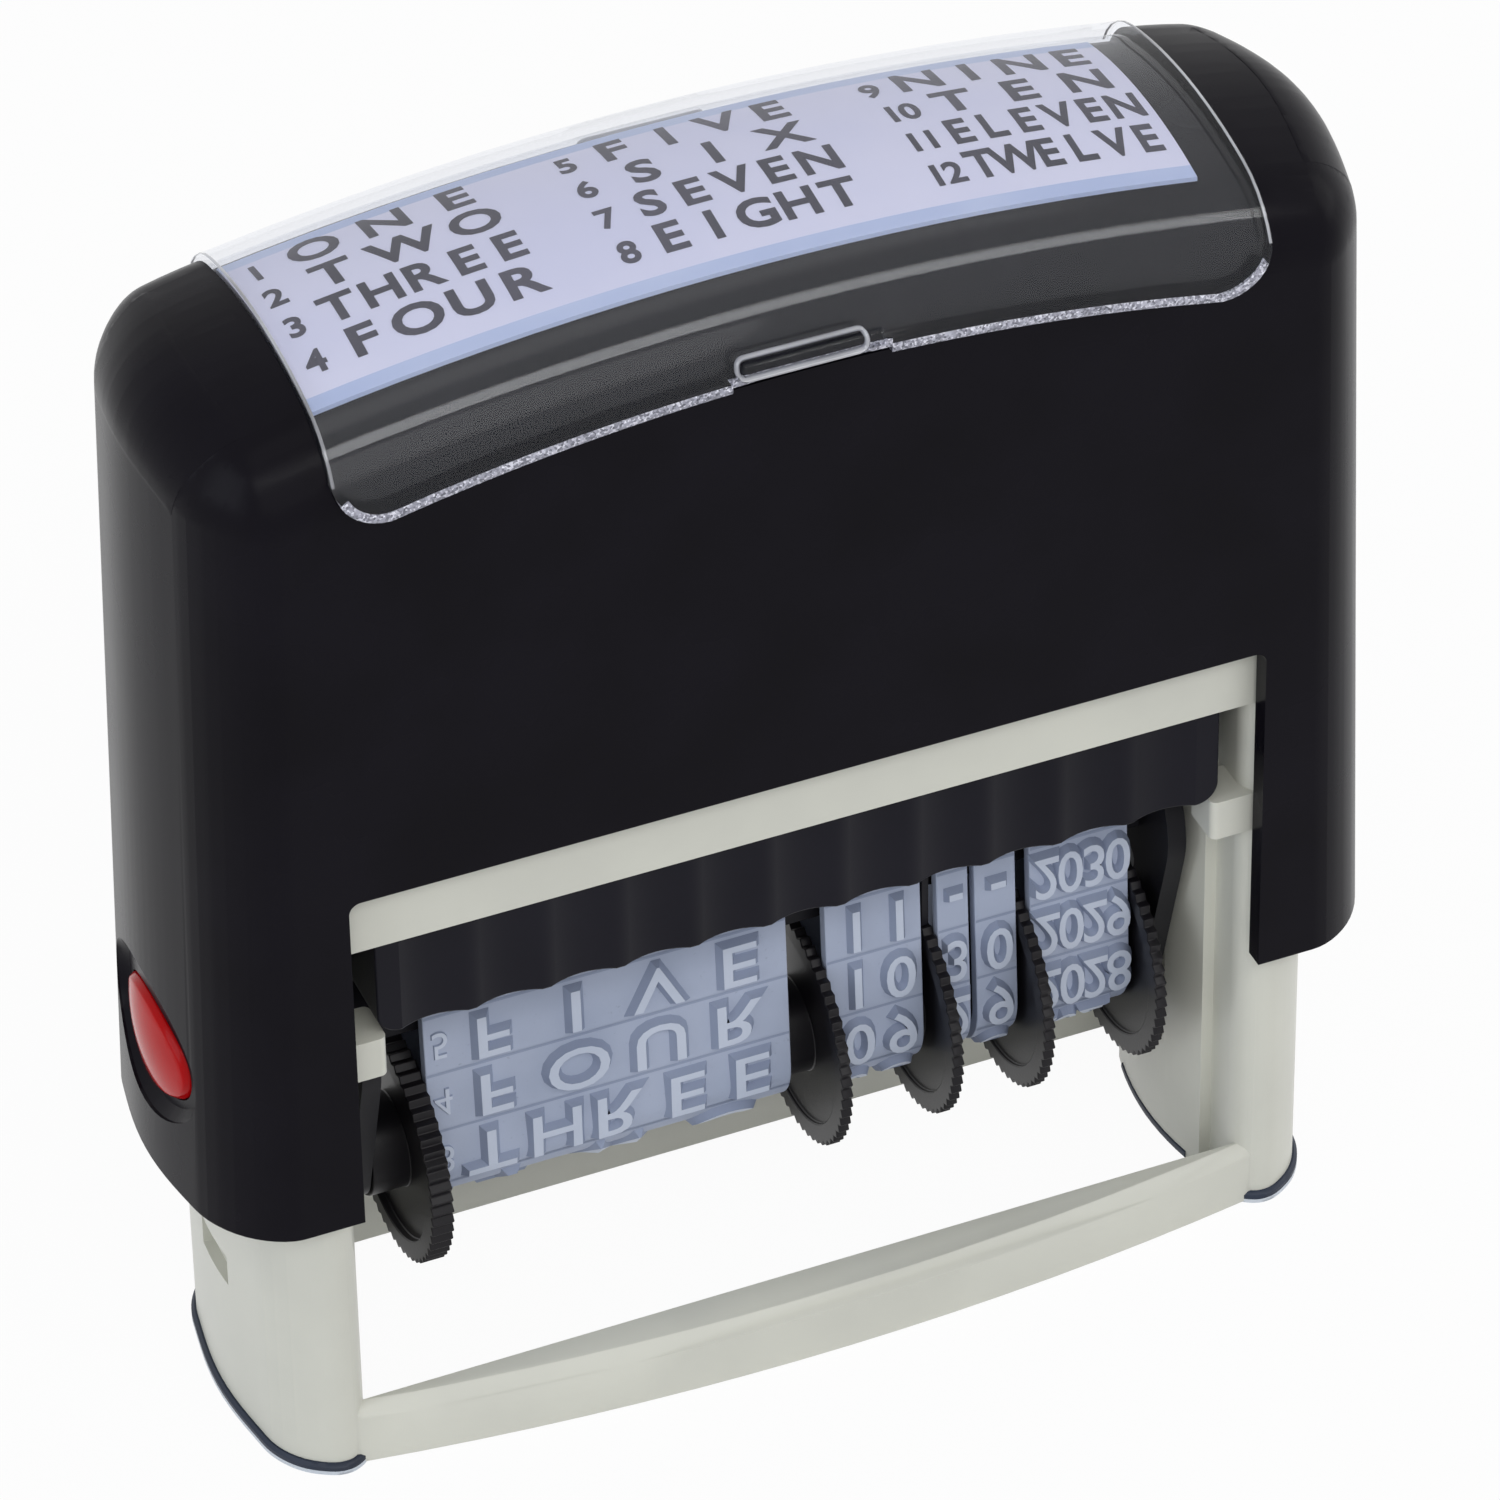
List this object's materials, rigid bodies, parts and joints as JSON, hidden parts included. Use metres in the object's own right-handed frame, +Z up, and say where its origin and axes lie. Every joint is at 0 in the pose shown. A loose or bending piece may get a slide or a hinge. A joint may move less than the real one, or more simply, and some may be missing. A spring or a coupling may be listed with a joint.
{
  "type": "self-inking phrase and date stamp",
  "caption": "Press-down self-inking stamp: black cap, pale frame, clear index cover, turning type unit with a wide phrase band and date bands, and a slide-out ink cassette.",
  "frame": {"origin": "middle of the print on the surface that the feet stand on", "axes": "+Z up through the cap, -Y the front with the phrase and date bands, +X to the year band's end"},
  "size_m": [0.0824, 0.026, 0.0864],
  "materials": {
    "frame_ivory": "satin warm ivory moulding",
    "foot_rubber": "dark soft pad with a pale lip",
    "cap_black": "fine satin black",
    "inner_plastic": "dark engineering plastic",
    "card": "printed card",
    "clear_cover": "clear moulding with frosted edges",
    "cassette_plastic": "charcoal, fluted front",
    "ink_felt": "felt soaked with black ink",
    "button_red": "glossy red dome",
    "band_rubber": "blue-grey rubber with raised type",
    "wheel_plastic": "near-black, serrated rim",
    "steel": "drawn steel pin",
    "spring_steel": "spring wire"
  },
  "bodies": {
    "base": {"frame": "frame_ivory", "foot_left": "foot_rubber", "foot_right": "foot_rubber", "return_spring_left": "spring_steel", "return_spring_right": "spring_steel"},
    "cap": {"cap_shell": "cap_black", "drive_yoke": "inner_plastic", "index_card": "card"},
    "cover": {"index_cover": "clear_cover"},
    "cassette": {"cassette_tray": "cassette_plastic", "ink_pad": "ink_felt"},
    "button_left": {"lock_button_left": "button_red"},
    "button_right": {"lock_button_right": "button_red"},
    "print_unit": {"band_carrier": "inner_plastic", "band_guides": "inner_plastic", "wheel_axle": "steel", "trunnion_pin_left": "inner_plastic", "trunnion_pin_right": "inner_plastic", "follower_pin_left": "steel", "follower_pin_right": "steel", "phrase_band": "band_rubber", "month_band": "band_rubber", "day_tens_band": "band_rubber", "day_units_band": "band_rubber", "year_band": "band_rubber"},
    "phrase_setter": {"phrase_wheel": "wheel_plastic"},
    "month_setter": {"month_wheel": "wheel_plastic"},
    "day_tens_setter": {"day_tens_wheel": "wheel_plastic"},
    "day_units_setter": {"day_units_wheel": "wheel_plastic"},
    "year_setter": {"year_wheel": "wheel_plastic"}
  },
  "joints": [
    {"name": "cap_press", "type": "slide", "parent": "base", "child": "cap", "axis": [0, 0, -1], "range_m": [0, 0.019], "stiffness_N_per_m": 600, "springref_m": -0.012, "deforming": ["return_spring_left", "return_spring_right"]},
    {"name": "print_unit_flip", "type": "hinge", "parent": "cap", "child": "print_unit", "pos_m": [0, 0, 0.0284], "axis": [1, 0, 0], "range_deg": [0, 180]},
    {"name": "index_cover_lift", "type": "slide", "parent": "cap", "child": "cover", "axis": [0, 0, 1], "range_m": [0, 0.02]},
    {"name": "pad_slide", "type": "slide", "parent": "base", "child": "cassette", "axis": [0, 1, 0], "range_m": [-0.036, 0]},
    {"name": "lock_button_left", "type": "slide", "parent": "cap", "child": "button_left", "axis": [1, 0, 0], "range_m": [0, 0.0008], "stiffness_N_per_m": 400, "springref_m": -0.001},
    {"name": "lock_button_right", "type": "slide", "parent": "cap", "child": "button_right", "axis": [-1, 0, 0], "range_m": [0, 0.0008], "stiffness_N_per_m": 400, "springref_m": -0.001},
    {"name": "phrase_wheel_turn", "type": "hinge", "parent": "print_unit", "child": "phrase_setter", "pos_m": [0, 0, 0.017], "axis": [1, 0, 0], "continuous": true},
    {"name": "month_wheel_turn", "type": "hinge", "parent": "print_unit", "child": "month_setter", "pos_m": [0, 0, 0.017], "axis": [1, 0, 0], "continuous": true},
    {"name": "day_tens_wheel_turn", "type": "hinge", "parent": "print_unit", "child": "day_tens_setter", "pos_m": [0, 0, 0.017], "axis": [1, 0, 0], "continuous": true},
    {"name": "day_units_wheel_turn", "type": "hinge", "parent": "print_unit", "child": "day_units_setter", "pos_m": [0, 0, 0.017], "axis": [1, 0, 0], "continuous": true},
    {"name": "year_wheel_turn", "type": "hinge", "parent": "print_unit", "child": "year_setter", "pos_m": [0, 0, 0.017], "axis": [1, 0, 0], "continuous": true}
  ],
  "couplings": [
    {"joint": "print_unit_flip", "follows": "cap_press", "rad_per_m": 165.34}
  ]
}
